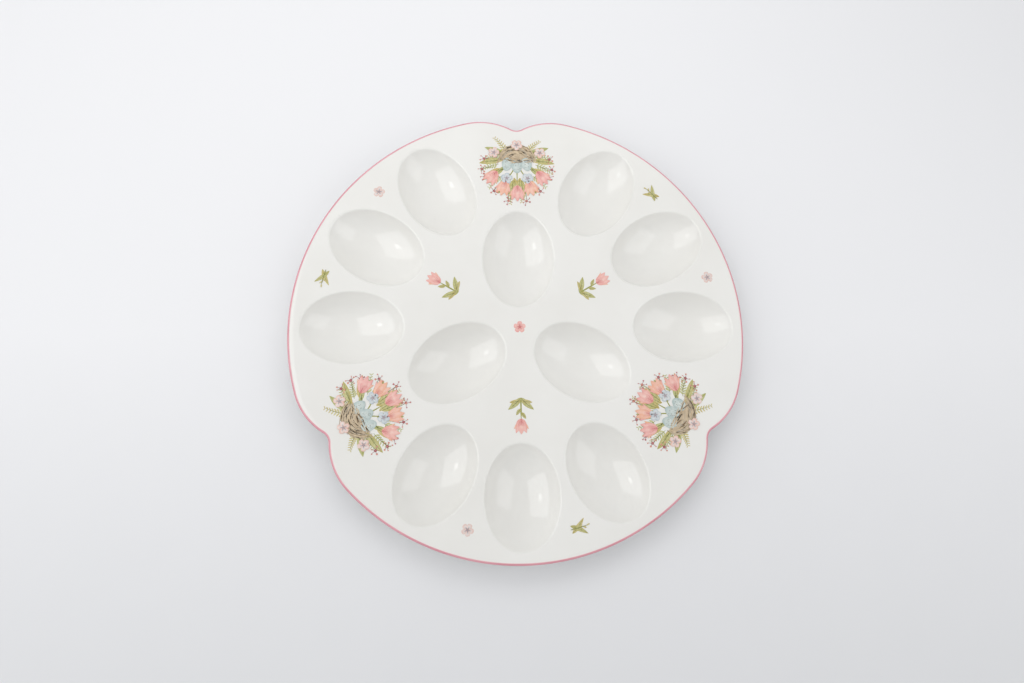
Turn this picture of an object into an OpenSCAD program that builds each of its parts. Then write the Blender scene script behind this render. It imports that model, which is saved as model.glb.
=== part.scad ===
// Deviled egg platter: one glazed ceramic plate with a rolled rim, three soft notches and
// twelve egg wells, nine in an outer ring and three in the middle, over a foot ring.
// A pink band is painted round the rim, and enamel prints lie on the deck between the wells.
// The origin is the centre of the foot ring on the table, +Z is up, and +Y points at a notch.

/* [Platter] */
// Diameter over the rim
platter_d = 304; // [290:1:320]
// Thickness of the ceramic
wall = 5; // [4:0.5:6]
// Gap between the bottoms of the wells and the table
bump_gap = 1; // [0.5:0.1:3]

/* [Rim] */
// Radius of the rolled bead round the rim
bead_r = 3; // [2.7:0.1:3.4]
// Height of the bead above the deck
bead_rise = 0.8; // [0.5:0.1:1.1]
// Depth of a notch below the rim circle
notch_depth = 9.2; // [7:0.2:12]
// Radius of the hollow at the bottom of a notch
notch_r = 8; // [6:0.5:12]
// Radius of the shoulders beside a notch
shoulder_r = 44; // [36:1:52]

/* [Egg wells] */
// Land between the outer wells and the edge of the rim
rim_land = 6.3; // [5.8:0.1:8]
// Land between two outer wells, where they are widest
well_gap = 6.3; // [5:0.1:9]
// Land between the centre of the platter and a middle well
centre_land = 12.1; // [10:0.1:14]
// Length of a well as a share of its width
well_length_share = 1.394; // [1.3:0.002:1.42]
// Depth of a well below the deck
well_depth = 16; // [13:0.5:19]
// Radius of the rounded lip of a well
lip_r = 2.4; // [1.6:0.1:3]

/* [Foot ring] */
// Diameter of the foot ring as a share of the platter's
foot_share = 0.52; // [0.46:0.01:0.6]
// Width of the foot ring's face
foot_w = 4.5; // [3.5:0.5:8]
// Widening of each side of the foot ring up to the deck
foot_draft = 1.2; // [0.6:0.2:3]

/* [Rim band] */
// Thickness of the painted band
band_t = 0.25; // [0.1:0.05:0.4]
// Reach of the band over the bead, measured in from the rim's edge
band_in = 2.2; // [1.6:0.1:3]
// Reach of the band down the side of the bead, below its middle
band_down = 1.8; // [1:0.1:2.4]

/* [Enamel prints] */
// Thickness of one print of enamel
ink_t = 0.1; // [0.05:0.05:0.2]
// Size of a posy as a share of the platter's diameter
posy_share = 0.171; // [0.15:0.001:0.178]
// Distance of a posy's middle from the centre, as a share of the platter's diameter
posy_ring_share = 0.365; // [0.358:0.001:0.372]
// Length of a leaf, here and below as a share of a posy's size
leaf_length_share = 0.29; // [0.24:0.01:0.33]
// Width of a leaf
leaf_width_share = 0.088; // [0.06:0.002:0.12]
// Height of a tulip
tulip_share = 0.23; // [0.18:0.01:0.27]
// Width of a tulip's petal
petal_share = 0.1; // [0.08:0.005:0.12]
// Width of the nest
nest_share = 0.52; // [0.44:0.01:0.58]
// Height of an egg in the nest
egg_share = 0.192; // [0.16:0.004:0.21]
// Width of an egg as a share of its height
egg_width_share = 0.76; // [0.7:0.02:0.84]
// Diameter of a small blossom
blossom_share = 0.154; // [0.12:0.002:0.17]
// Diameter of a berry
berry_share = 0.036; // [0.024:0.002:0.046]
// Width of a stem
stem_share = 0.0136; // [0.01:0.0004:0.02]
// Length of the stem of a tulip sprig
sprig_share = 0.29; // [0.24:0.01:0.33]
// Distance of the tulip sprigs from the centre, as a share of the platter's diameter
sprig_ring_share = 0.155; // [0.148:0.001:0.162]
// Distance of the prints beside the rim from the centre, as such a share
rim_print_ring_share = 0.441; // [0.436:0.001:0.446]

/* [Hidden] */
$fn = 96;

glaze = "#F3F1EA";
band_pink = "#E3A0AB";
leaf_green = "#A7A65A";
nest_brown = "#9B876D";
egg_blue = "#C3D0CE";
tulip_pink = "#DE8B86";
blossom_blue = "#8FAEBB";
berry_red = "#7F3A45";

// One length past every cut, so that no two faces meet
overrun = 10;
// Each arc of the rim is this much thinner than the arc before it, and laps this far into it
lap_step = 0.02;
lap_len = 0.4;

deck_h = well_depth + wall + bump_gap;
rim_r = platter_d/2 - band_t;
bead_z = bead_rise - bead_r;
foot_d = foot_share*platter_d;

// The outer wells stand this many degrees apart. Their ring and their size follow from the lands
well_turn = 30;
outer_ring_r = (platter_d/2 - rim_land + well_length_share*well_gap/2)
    / (1 + well_length_share*sin(well_turn/2));
well_w = 2*outer_ring_r*sin(well_turn/2) - well_gap;
well_len = well_length_share*well_w;
inner_ring_r = centre_land + well_len/2;

// Half the width of the bowl at the deck, were there no lip, and the slope of its wall there
bowl_half = (well_w/2 + sqrt(pow(well_w/2, 2) - 4*lip_r*well_depth))/2;
bowl_slope = 2*atan(well_depth/bowl_half);
lip_slope_shares = [0.25, 0.5, 0.75];

posy_size = posy_share*platter_d;
posy_ring_r = posy_ring_share*platter_d;
leaf_len = leaf_length_share*posy_size;
leaf_w = leaf_width_share*posy_size;
tulip_len = tulip_share*posy_size;
petal_w = petal_share*posy_size;
// The side petals of a tulip, as shares of the middle one, and their lean in degrees
side_petal_len_share = 0.9;
side_petal_w_share = 0.8;
side_petal_out_share = 1/12;
side_petal_up_share = 1/20;
side_petal_lean = 20;
nest_w = nest_share*posy_size;
// The nest lies this share of a posy below its middle, and dips by these shares of its own width
nest_low_share = 0.12;
nest_dip_share = 1/5;
nest_hollow_share = 1.2;
egg_len = egg_share*posy_size;
blossom_d = blossom_share*posy_size;
berry_d = berry_share*posy_size;
stem_w = stem_share*posy_size;
sprig_len = sprig_share*posy_size;
// The small prints' leaves and tulips, as shares of a posy's, and their leaves' lean in degrees
sprig_leaf_share = 0.7;
sprig_leaf_lean = 38;
sprig_tulip_share = 0.8;
// How far a sprig's tulip laps its stem, as a share of the stem's width
sprig_tulip_lap_share = 2;
rim_leaf_share = 0.8;
rim_leaf_low_share = 1/3;
rim_leaf_lean = 28;
sprig_ring_r = sprig_ring_share*platter_d;
rim_print_ring_r = rim_print_ring_share*platter_d;

// The rim's outline: a lobe arc round the centre, a shoulder arc and a notch arc, all tangent
shoulder_ring_r = rim_r - shoulder_r;
notch_ring_r = rim_r - notch_depth + notch_r;
reach = shoulder_r + notch_r;
at_centre = acos((pow(shoulder_ring_r, 2) + pow(notch_ring_r, 2) - pow(reach, 2))
    / (2*shoulder_ring_r*notch_ring_r));
at_shoulder = acos((pow(shoulder_ring_r, 2) + pow(reach, 2) - pow(notch_ring_r, 2))
    / (2*shoulder_ring_r*reach));
lobe_half = 60 - at_centre;
shoulder_turn = 180 - at_shoulder;
notch_half = shoulder_turn - at_centre;

lobe_turns = [-90, 30, 150];
notch_turns = [90, 210, 330];

function polar(r, a) = [r*cos(a), r*sin(a)];
function arc_angle(len, r) = 180*len/(PI*r);
// Radius of the ball that is w wide in all at the deck and d deep below it
function ball_r(w, d) = (w*w/4 + d*d)/(2*d);

// The bead's section, drawn with the rim's outline at x = 0 and the platter at -x
module bead_section(step) {
    translate([-bead_r, bead_z])
        circle(r = bead_r - step*lap_step);
}

module band_section(step) {
    translate([-bead_r, bead_z])
        intersection() {
            difference() {
                circle(r = bead_r - step*lap_step + band_t);
                circle(r = bead_r - step*lap_step);
            }
            translate([bead_r - band_in + step*lap_step, step*lap_step - band_down])
                square([band_in + overrun, bead_r + band_down + overrun]);
        }
}

// Runs a section round the whole rim; a lobe's arc takes step 0, a shoulder's 1, a notch's 2
module run_round_rim(section) {
    shoulder_lap = arc_angle(lap_len, shoulder_r);
    notch_lap = arc_angle(lap_len, notch_r);
    for (turn = lobe_turns)
        rotate(turn) {
            rotate(-lobe_half)
                rotate_extrude(angle = 2*lobe_half)
                    translate([rim_r, 0])
                        rim_section(section, 0);
            for (side = [-1, 1])
                rotate(side*lobe_half)
                    translate([shoulder_ring_r, 0])
                        rotate(side > 0 ? -shoulder_lap : -shoulder_turn)
                            rotate_extrude(angle = shoulder_turn + shoulder_lap)
                                translate([shoulder_r, 0])
                                    rim_section(section, 1);
            rotate(60)
                translate([notch_ring_r, 0])
                    rotate(180 - notch_half - notch_lap)
                        rotate_extrude(angle = 2*(notch_half + notch_lap))
                            translate([notch_r, 0])
                                mirror([1, 0])
                                    rim_section(section, 2);
        }
}

module rim_section(section, step) {
    if (section == "bead")
        bead_section(step);
    else
        band_section(step);
}

// The flat deck's outline, drawn in from the rim by inset. Its sectors lap a little, and its
// edge lies inside the bead
module deck_outline(inset) {
    far = 2*platter_d;
    lobe_lap = arc_angle(lap_len, rim_r);
    shoulder_lap = arc_angle(lap_len, shoulder_r);
    for (turn = lobe_turns)
        rotate(turn) {
            intersection() {
                circle(r = rim_r - inset);
                polygon([[0, 0], polar(far, -lobe_half - lobe_lap), [far, -far], [far, far],
                    polar(far, lobe_half + lobe_lap)]);
            }
            for (side = [-1, 1])
                rotate(side*lobe_half)
                    translate([shoulder_ring_r, 0])
                        intersection() {
                            circle(r = shoulder_r - inset);
                            polygon([[-lap_len, -side*lap_len], polar(far, -side*shoulder_lap),
                                polar(far, side*shoulder_turn/2),
                                polar(far, side*(shoulder_turn + shoulder_lap))]);
                        }
            rotate(60)
                difference() {
                    polygon([[-lap_len, 0], polar(shoulder_ring_r + lap_len, -at_centre - lobe_lap),
                        [notch_ring_r, 0], polar(shoulder_ring_r + lap_len, at_centre + lobe_lap)]);
                    translate([notch_ring_r, 0])
                        circle(r = notch_r + inset);
                }
        }
}

module at_wells() {
    for (turn = lobe_turns, side = [-1:1])
        rotate(turn + side*well_turn)
            translate([outer_ring_r, 0])
                children();
    for (turn = notch_turns)
        rotate(turn)
            translate([inner_ring_r, 0])
                children();
}

// A ball that dips depth below the deck and is w wide there
module ball(w, depth) {
    translate([0, 0, ball_r(w, depth) - depth])
        sphere(r = ball_r(w, depth));
}

// A well's hollow: an oval bowl. Ever flatter caps round its lip, each tangent to the lip's radius
module well_hollow() {
    scale([well_length_share, 1, 1]) {
        ball(2*bowl_half, well_depth);
        for (share = lip_slope_shares) {
            lean = tan(share*bowl_slope/2);
            half = well_w/2 - lip_r*lean;
            ball(2*half, half*lean);
        }
    }
}

// A well's outside, which shows as an egg-shaped bump under the platter
module well_bump() {
    scale([(well_len + 2*wall)/(well_w + 2*wall), 1, 1])
        ball(well_w + 2*wall, well_depth + wall);
}

module foot_ring() {
    rotate_extrude()
        polygon([
            [foot_d/2 - foot_w/2, -deck_h],
            [foot_d/2 + foot_w/2, -deck_h],
            [foot_d/2 + foot_w/2 + foot_draft, -wall/2],
            [foot_d/2 - foot_w/2 - foot_draft, -wall/2]
        ]);
}

module platter_body() {
    color(glaze)
        translate([0, 0, deck_h]) {
            run_round_rim("bead");
            difference() {
                union() {
                    translate([0, 0, -wall])
                        linear_extrude(wall)
                            deck_outline(bead_r);
                    foot_ring();
                    difference() {
                        at_wells()
                            well_bump();
                        translate([-platter_d, -platter_d, -wall/2])
                            cube([2*platter_d, 2*platter_d, platter_d]);
                    }
                }
                at_wells()
                    well_hollow();
            }
        }
}

module rim_band() {
    color(band_pink)
        translate([0, 0, deck_h])
            run_round_rim("band");
}

// The prints' shapes. Each points along +Y from its foot at the origin

module leaf(len, w) {
    r = (len*len + w*w)/(4*w);
    intersection() {
        translate([r - w/2, len/2])
            circle(r = r);
        translate([w/2 - r, len/2])
            circle(r = r);
    }
}

module tulip(len, w) {
    leaf(len, w);
    for (side = [-1, 1])
        rotate(side*side_petal_lean)
            translate([side*side_petal_out_share*w, side_petal_up_share*len])
                leaf(side_petal_len_share*len, side_petal_w_share*w);
}

module blossom(d) {
    for (k = [0:4])
        rotate(72*k)
            translate([0, d/4])
                circle(d = d/2);
}

module stem(len) {
    translate([-stem_w/2, 0])
        square([stem_w, len]);
}

// Lays a flat print on the deck; layer counts the prints below it
module print_on_deck(layer, tint) {
    color(tint)
        translate([0, 0, deck_h + layer*ink_t])
            linear_extrude(ink_t)
                children();
}

// Places of a posy's motifs, as shares of its size, with a turn in degrees
leaf_place_shares = [
    [-0.16, -0.24, 118], [0.16, -0.24, -118], [-0.22, -0.16, 88], [0.22, -0.16, -88],
    [-0.22, -0.04, 62], [0.22, -0.04, -62], [-0.12, 0.06, 34], [0.12, 0.06, -34],
    [-0.05, 0.12, 12], [0.05, 0.12, -12]
];
tulip_place_shares = [
    [-0.27, 0.0, 38], [0.27, 0.0, -38], [-0.15, 0.13, 18], [0.15, 0.13, -18], [0, 0.2, 0]
];
posy_egg_place_shares = [[-0.13, -0.1, 14], [0.13, -0.1, -14], [0, -0.07, 0]];
blossom_place_shares = [
    [-0.31, -0.27, 0], [0.31, -0.27, 20], [-0.14, 0.1, 8], [0.14, 0.1, 30], [0, -0.38, 0]
];
berry_place_shares = [
    [-0.47, -0.03, 0], [0.47, -0.03, 0], [-0.43, 0.08, 0], [0.43, 0.08, 0],
    [-0.31, 0.28, 0], [0.31, 0.28, 0], [-0.12, 0.42, 0], [0.12, 0.42, 0],
    [-0.44, -0.18, 0], [0.44, -0.18, 0]
];

// Puts children at each place of a posy
module at_places(places) {
    for (p = places)
        translate([p[0]*posy_size, p[1]*posy_size])
            rotate(p[2])
                children();
}

// Stands a posy's print at its notch, with its top to the middle of the platter
module at_posy(k) {
    rotate(notch_turns[k])
        translate([posy_ring_r, 0])
            rotate(90)
                children();
}

module posy_leaves(k) {
    print_on_deck(0, leaf_green)
        at_posy(k)
            at_places(leaf_place_shares)
                leaf(leaf_len, leaf_w);
}

// The nest is a bowl of twigs: the lower part of a round
module posy_nest(k) {
    print_on_deck(1, nest_brown)
        at_posy(k)
            translate([0, -nest_low_share*posy_size])
                intersection() {
                    circle(d = nest_w);
                    translate([-nest_w, -nest_w])
                        square([2*nest_w, nest_w]);
                    translate([0, nest_dip_share*nest_w])
                        circle(d = nest_hollow_share*nest_w);
                }
}

module posy_eggs(k) {
    print_on_deck(2, egg_blue)
        at_posy(k)
            at_places(posy_egg_place_shares)
                scale([egg_width_share, 1])
                    circle(d = egg_len);
}

module posy_tulips(k) {
    print_on_deck(3, tulip_pink)
        at_posy(k)
            at_places(tulip_place_shares)
                tulip(tulip_len, petal_w);
}

module posy_blossoms(k) {
    print_on_deck(4, blossom_blue)
        at_posy(k)
            at_places(blossom_place_shares)
                blossom(blossom_d);
}

module posy_berries(k) {
    print_on_deck(1, berry_red)
        at_posy(k)
            at_places(berry_place_shares)
                circle(d = berry_d);
}

// Stands a sprig between two middle wells, with its top to the rim
module at_sprig(k) {
    rotate(lobe_turns[k])
        translate([sprig_ring_r, 0])
            rotate(-90)
                children();
}

module sprig_stem(k) {
    print_on_deck(0, leaf_green)
        at_sprig(k) {
            stem(sprig_len);
            for (side = [-1, 1])
                rotate(side*sprig_leaf_lean)
                    leaf(sprig_leaf_share*leaf_len, sprig_leaf_share*leaf_w);
        }
}

module sprig_tulip(k) {
    print_on_deck(1, tulip_pink)
        at_sprig(k)
            translate([0, sprig_len - sprig_tulip_lap_share*stem_w])
                tulip(sprig_tulip_share*tulip_len, sprig_tulip_share*petal_w);
}

// The small prints beside the rim stand between the outer wells
module rim_leaves(k) {
    print_on_deck(0, leaf_green)
        rotate(lobe_turns[k] + well_turn/2)
            translate([rim_print_ring_r, 0])
                for (side = [-1, 1])
                    rotate(side*rim_leaf_lean)
                        translate([0, -rim_leaf_low_share*leaf_len])
                            leaf(rim_leaf_share*leaf_len, rim_leaf_share*leaf_w);
}

module rim_blossom(k) {
    print_on_deck(0, blossom_blue)
        rotate(lobe_turns[k] - well_turn/2)
            translate([rim_print_ring_r, 0])
                blossom(blossom_d);
}

module centre_blossom() {
    print_on_deck(0, tulip_pink)
        blossom(blossom_d);
}

platter_body();
rim_band();
posy_leaves(0);  // posy_top_leaves
posy_nest(0);  // posy_top_nest
posy_eggs(0);  // posy_top_eggs
posy_tulips(0);  // posy_top_tulips
posy_blossoms(0);  // posy_top_blossoms
posy_berries(0);  // posy_top_berries
posy_leaves(1);  // posy_left_leaves
posy_nest(1);  // posy_left_nest
posy_eggs(1);  // posy_left_eggs
posy_tulips(1);  // posy_left_tulips
posy_blossoms(1);  // posy_left_blossoms
posy_berries(1);  // posy_left_berries
posy_leaves(2);  // posy_right_leaves
posy_nest(2);  // posy_right_nest
posy_eggs(2);  // posy_right_eggs
posy_tulips(2);  // posy_right_tulips
posy_blossoms(2);  // posy_right_blossoms
posy_berries(2);  // posy_right_berries
sprig_stem(0);  // sprig_1_stem
sprig_tulip(0);  // sprig_1_tulip
sprig_stem(1);  // sprig_2_stem
sprig_tulip(1);  // sprig_2_tulip
sprig_stem(2);  // sprig_3_stem
sprig_tulip(2);  // sprig_3_tulip
rim_leaves(0);  // rim_leaves_1
rim_leaves(1);  // rim_leaves_2
rim_leaves(2);  // rim_leaves_3
rim_blossom(0);  // rim_blossom_1
rim_blossom(1);  // rim_blossom_2
rim_blossom(2);  // rim_blossom_3
centre_blossom();
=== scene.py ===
import math
import random

import bmesh
import bpy
from mathutils import Matrix, Vector


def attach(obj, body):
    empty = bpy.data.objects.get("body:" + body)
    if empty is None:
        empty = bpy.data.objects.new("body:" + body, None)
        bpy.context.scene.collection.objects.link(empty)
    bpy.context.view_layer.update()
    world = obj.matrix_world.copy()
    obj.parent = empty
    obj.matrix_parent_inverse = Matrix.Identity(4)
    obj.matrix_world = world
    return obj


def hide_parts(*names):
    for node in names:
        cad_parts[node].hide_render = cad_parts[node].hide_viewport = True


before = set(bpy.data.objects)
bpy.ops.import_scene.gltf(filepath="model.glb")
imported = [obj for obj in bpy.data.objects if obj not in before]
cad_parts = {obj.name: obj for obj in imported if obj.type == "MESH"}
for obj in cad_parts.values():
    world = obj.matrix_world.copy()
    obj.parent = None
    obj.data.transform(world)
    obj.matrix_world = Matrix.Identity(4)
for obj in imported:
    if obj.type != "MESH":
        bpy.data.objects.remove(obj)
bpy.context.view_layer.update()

# The platter: one piece of white clay, pressed in a mould with its twelve egg wells and its foot
# ring, then dipped in a clear gloss glaze. The foot is wiped, so that bare clay meets the table.
RIM_R = 0.15188
BEAD_R = 0.003
EDGE_R = 0.0018
DECK_Z = 0.022
WALL = 0.005
NOTCH_DEPTH = 0.0092
NOTCH_R = 0.008
SHOULDER_R = 0.044
DECK_INSET = 0.005
WELL_W = 0.0507938
WELL_LENGTH_SHARE = 1.394
WELL_DEPTH = 0.016
LIP_R = 0.0016
OUTER_RING_R = 0.1102967
INNER_RING_R = 0.0475033
BUMP_HALF_LENGTH = 0.0374
BUMP_HALF_WIDTH = 0.0282
FOOT_OUTER_R = 0.1
NOTCH_TURNS = (90, 210, 330)
NOTCH_STEPS = 8
SHOULDER_STEPS = 16
LOBE_STEPS = 56
CREASE = math.radians(28)
TINY = 2e-6

shoulder_ring_r = RIM_R - SHOULDER_R
notch_ring_r = RIM_R - NOTCH_DEPTH + NOTCH_R
arm = SHOULDER_R + NOTCH_R
at_centre = math.acos(
    (shoulder_ring_r**2 + notch_ring_r**2 - arm**2) / (2 * shoulder_ring_r * notch_ring_r)
)
at_shoulder = math.acos(
    (shoulder_ring_r**2 + arm**2 - notch_ring_r**2) / (2 * shoulder_ring_r * arm)
)
lobe_half = math.radians(60) - at_centre
shoulder_turn = math.pi - at_shoulder
notch_half = shoulder_turn - at_centre
bead_z = DECK_Z - BEAD_R
edge_z = DECK_Z - EDGE_R
under_z = DECK_Z - WALL


def turned(degrees):
    return Matrix.Rotation(math.radians(degrees), 4, "Z")


def shown(name, bm, node, slot, *finishes):
    """Turns a bmesh into a piece of the platter that stands for one node."""
    mesh = bpy.data.meshes.new(name)
    bm.to_mesh(mesh)
    bm.free()
    for finish in finishes:
        mesh.materials.append(finish)
    piece = bpy.data.objects.new(name, mesh)
    bpy.context.scene.collection.objects.link(piece)
    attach(piece, "root")
    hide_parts(node)


def spin_round_rim(bm, section, closed=False):
    """Spins a section of points (distance in from the rim, height) along its tangent arcs."""
    at_notch = RIM_R - NOTCH_DEPTH
    verts = [bm.verts.new((0, at_notch - inset, z)) for inset, z in section]
    ends = verts[1:] + verts[:1] if closed else verts[1:]
    ring = verts + [bm.edges.new(pair) for pair in zip(verts, ends)]
    for notch_turn in NOTCH_TURNS:
        notch = math.radians(notch_turn)
        lobe = notch + math.radians(60)
        next_notch = notch + math.radians(120)
        for centre_r, centre_turn, turn, steps in (
            (notch_ring_r, notch, -notch_half, NOTCH_STEPS),
            (shoulder_ring_r, lobe - lobe_half, shoulder_turn, SHOULDER_STEPS),
            (0, 0, 2 * lobe_half, LOBE_STEPS),
            (shoulder_ring_r, lobe + lobe_half, shoulder_turn, SHOULDER_STEPS),
            (notch_ring_r, next_notch, -notch_half, NOTCH_STEPS),
        ):
            centre = (centre_r * math.cos(centre_turn), centre_r * math.sin(centre_turn), 0)
            ring = bmesh.ops.spin(
                bm, geom=ring, cent=centre, axis=(0, 0, 1), angle=turn, steps=steps
            )["geom_last"]
    bmesh.ops.remove_doubles(bm, verts=bm.verts, dist=TINY)


def fill_level(bm, z, up):
    """Fills the flat face that the open edges at one height leave between them."""
    rims = [
        e
        for e in bm.edges
        if len(e.link_faces) < 2 and all(abs(v.co.z - z) < TINY for v in e.verts)
    ]
    made = bmesh.ops.triangle_fill(bm, use_beauty=True, edges=rims, normal=(0, 0, up))
    return [g for g in made["geom"] if isinstance(g, bmesh.types.BMFace)]


# The bumps of the wells and the foot ring, under the deck, keep the frame's own faces
FACES_DOWN = 0.01
places = [
    turned(turn) @ Matrix.Translation((OUTER_RING_R, 0, 0))
    for turn in range(0, 360, 30)
    if turn not in NOTCH_TURNS
]
places += [turned(turn) @ Matrix.Translation((INNER_RING_R, 0, 0)) for turn in NOTCH_TURNS]
bump_places = [
    (place @ Matrix.Diagonal((BUMP_HALF_LENGTH, BUMP_HALF_WIDTH, 1, 1))).inverted()
    for place in places
]
bm = bmesh.new()
bm.from_mesh(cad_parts["platter_body"].data)
bmesh.ops.remove_doubles(bm, verts=bm.verts, dist=TINY)
rest = []
for face in bm.faces:
    middle = face.calc_center_median()
    kept = middle.z < under_z - TINY and face.normal.z < FACES_DOWN
    if kept and middle.xy.length > FOOT_OUTER_R:
        kept = any((to_bump @ middle).xy.length < 1 for to_bump in bump_places)
    if not kept:
        rest.append(face)
bmesh.ops.delete(bm, geom=rest, context="FACES")
for vert in bm.verts:
    if abs(vert.co.z - under_z) < TINY:
        vert.co.z = under_z

# The rim's section runs from the flat deck over the rounded edge and in to the underside
EDGE_STEPS = 9
BEAD_STEPS = 14
section = [(DECK_INSET, DECK_Z)]
for k in range(EDGE_STEPS + 1):
    lean = math.pi / 2 * (1 - k / EDGE_STEPS)
    section.append((EDGE_R - EDGE_R * math.cos(lean), edge_z + EDGE_R * math.sin(lean)))
bead_turn = math.pi - math.asin((bead_z - under_z) / BEAD_R)
for k in range(BEAD_STEPS + 1):
    lean = -bead_turn * k / BEAD_STEPS
    section.append((BEAD_R - BEAD_R * math.cos(lean), bead_z + BEAD_R * math.sin(lean)))
section[-1] = (section[-1][0], under_z)
spin_round_rim(bm, section)

# A well: a rounded lip that runs into a bowl, spun, then drawn out to an oval. A very thin bevel
# round the deck keeps its shading flat
LIP_STEPS = 8
BOWL_STEPS = 18
WELL_TURN_STEPS = 120
DECK_BEVEL = 0.00015
half_w = WELL_W / 2
bowl_half = (half_w + math.sqrt(half_w**2 - 4 * LIP_R * WELL_DEPTH)) / 2
bowl_slope = 2 * math.atan(WELL_DEPTH / bowl_half)
bowl_r = bowl_half / math.sin(bowl_slope)
profile = []
for k in range(LIP_STEPS + 1):
    lean = bowl_slope * k / LIP_STEPS
    profile.append((half_w - LIP_R * math.sin(lean), -LIP_R * (1 - math.cos(lean))))
lip_end = math.asin(profile[-1][0] / bowl_r)
for k in range(1, BOWL_STEPS + 1):
    lean = lip_end * (1 - k / BOWL_STEPS)
    profile.append((bowl_r * math.sin(lean), bowl_r - WELL_DEPTH - bowl_r * math.cos(lean)))
bowl = bmesh.new()
verts = [bowl.verts.new((r, 0, DECK_Z + z)) for r, z in profile]
edges = [bowl.edges.new(pair) for pair in zip(verts, verts[1:])]
bmesh.ops.spin(
    bowl,
    geom=verts + edges,
    cent=(0, 0, 0),
    axis=(0, 0, 1),
    angle=2 * math.pi,
    steps=WELL_TURN_STEPS,
    use_merge=True,
)
bmesh.ops.remove_doubles(bowl, verts=bowl.verts, dist=TINY)
bowl_mesh = bpy.data.meshes.new("egg_well")
bowl.to_mesh(bowl_mesh)
bowl.free()
for place in places:
    one = bowl_mesh.copy()
    one.transform(place @ Matrix.Diagonal((WELL_LENGTH_SHARE, 1, 1, 1)))
    for vert in one.vertices:
        if abs(vert.co.z - DECK_Z) < TINY:
            vert.co.z = DECK_Z
    bm.from_mesh(one)
    bpy.data.meshes.remove(one)
bpy.data.meshes.remove(bowl_mesh)
deck = fill_level(bm, DECK_Z, 1)
fill_level(bm, under_z, -1)
bmesh.ops.recalc_face_normals(bm, faces=bm.faces)
bmesh.ops.inset_region(
    bm, faces=deck, thickness=DECK_BEVEL, use_even_offset=True, use_boundary=True
)
for face in bm.faces:
    face.smooth = True
    face.material_index = 1 if face.calc_center_median().z < TINY else 0
for edge in bm.edges:
    edge.smooth = len(edge.link_faces) != 2 or edge.calc_face_angle() < CREASE

# The glaze has faint clouds in its colour and a slow ripple that breaks up what it reflects
glaze = bpy.data.materials.new("white_gloss_glaze")
glaze.use_nodes = True
tree = glaze.node_tree
shader = tree.nodes["Principled BSDF"]
coords = tree.nodes.new("ShaderNodeTexCoord")
clouds = tree.nodes.new("ShaderNodeTexNoise")
clouds.inputs["Scale"].default_value = 22
clouds.inputs["Detail"].default_value = 4
tone = tree.nodes.new("ShaderNodeValToRGB")
tone.color_ramp.elements[0].position = 0.35
tone.color_ramp.elements[0].color = (0.808, 0.796, 0.76, 1)
tone.color_ramp.elements[1].position = 0.65
tone.color_ramp.elements[1].color = (0.838, 0.828, 0.795, 1)
shader.inputs["IOR"].default_value = 1.75
ripple = tree.nodes.new("ShaderNodeTexNoise")
ripple.inputs["Scale"].default_value = 40
ripple.inputs["Detail"].default_value = 2
gloss = tree.nodes.new("ShaderNodeMapRange")
gloss.inputs["To Min"].default_value = 0.01
gloss.inputs["To Max"].default_value = 0.02
waves = tree.nodes.new("ShaderNodeBump")
waves.inputs["Strength"].default_value = 0.04
waves.inputs["Distance"].default_value = 0.0003
tree.links.new(coords.outputs["Object"], clouds.inputs["Vector"])
tree.links.new(clouds.outputs["Fac"], tone.inputs["Fac"])
tree.links.new(tone.outputs["Color"], shader.inputs["Base Color"])
tree.links.new(coords.outputs["Object"], ripple.inputs["Vector"])
tree.links.new(ripple.outputs["Fac"], gloss.inputs["Value"])
tree.links.new(gloss.outputs["Result"], shader.inputs["Roughness"])
tree.links.new(ripple.outputs["Fac"], waves.inputs["Height"])
tree.links.new(waves.outputs["Normal"], shader.inputs["Normal"])

# The foot's wiped edge: bare, gritty clay
clay = bpy.data.materials.new("bare_clay")
clay.use_nodes = True
tree = clay.node_tree
shader = tree.nodes["Principled BSDF"]
shader.inputs["Roughness"].default_value = 0.85
coords = tree.nodes.new("ShaderNodeTexCoord")
grit = tree.nodes.new("ShaderNodeTexNoise")
grit.inputs["Scale"].default_value = 900
grit.inputs["Detail"].default_value = 6
tone = tree.nodes.new("ShaderNodeValToRGB")
tone.color_ramp.elements[0].position = 0.3
tone.color_ramp.elements[0].color = (0.50, 0.45, 0.38, 1)
tone.color_ramp.elements[1].position = 0.6
tone.color_ramp.elements[1].color = (0.72, 0.68, 0.60, 1)
grain = tree.nodes.new("ShaderNodeBump")
grain.inputs["Strength"].default_value = 0.6
grain.inputs["Distance"].default_value = 0.0002
tree.links.new(coords.outputs["Object"], grit.inputs["Vector"])
tree.links.new(grit.outputs["Fac"], tone.inputs["Fac"])
tree.links.new(tone.outputs["Color"], shader.inputs["Base Color"])
tree.links.new(grit.outputs["Fac"], grain.inputs["Height"])
tree.links.new(grain.outputs["Normal"], shader.inputs["Normal"])
shown("glazed_platter", bm, "platter_body", "white_glaze", glaze, clay)

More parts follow.
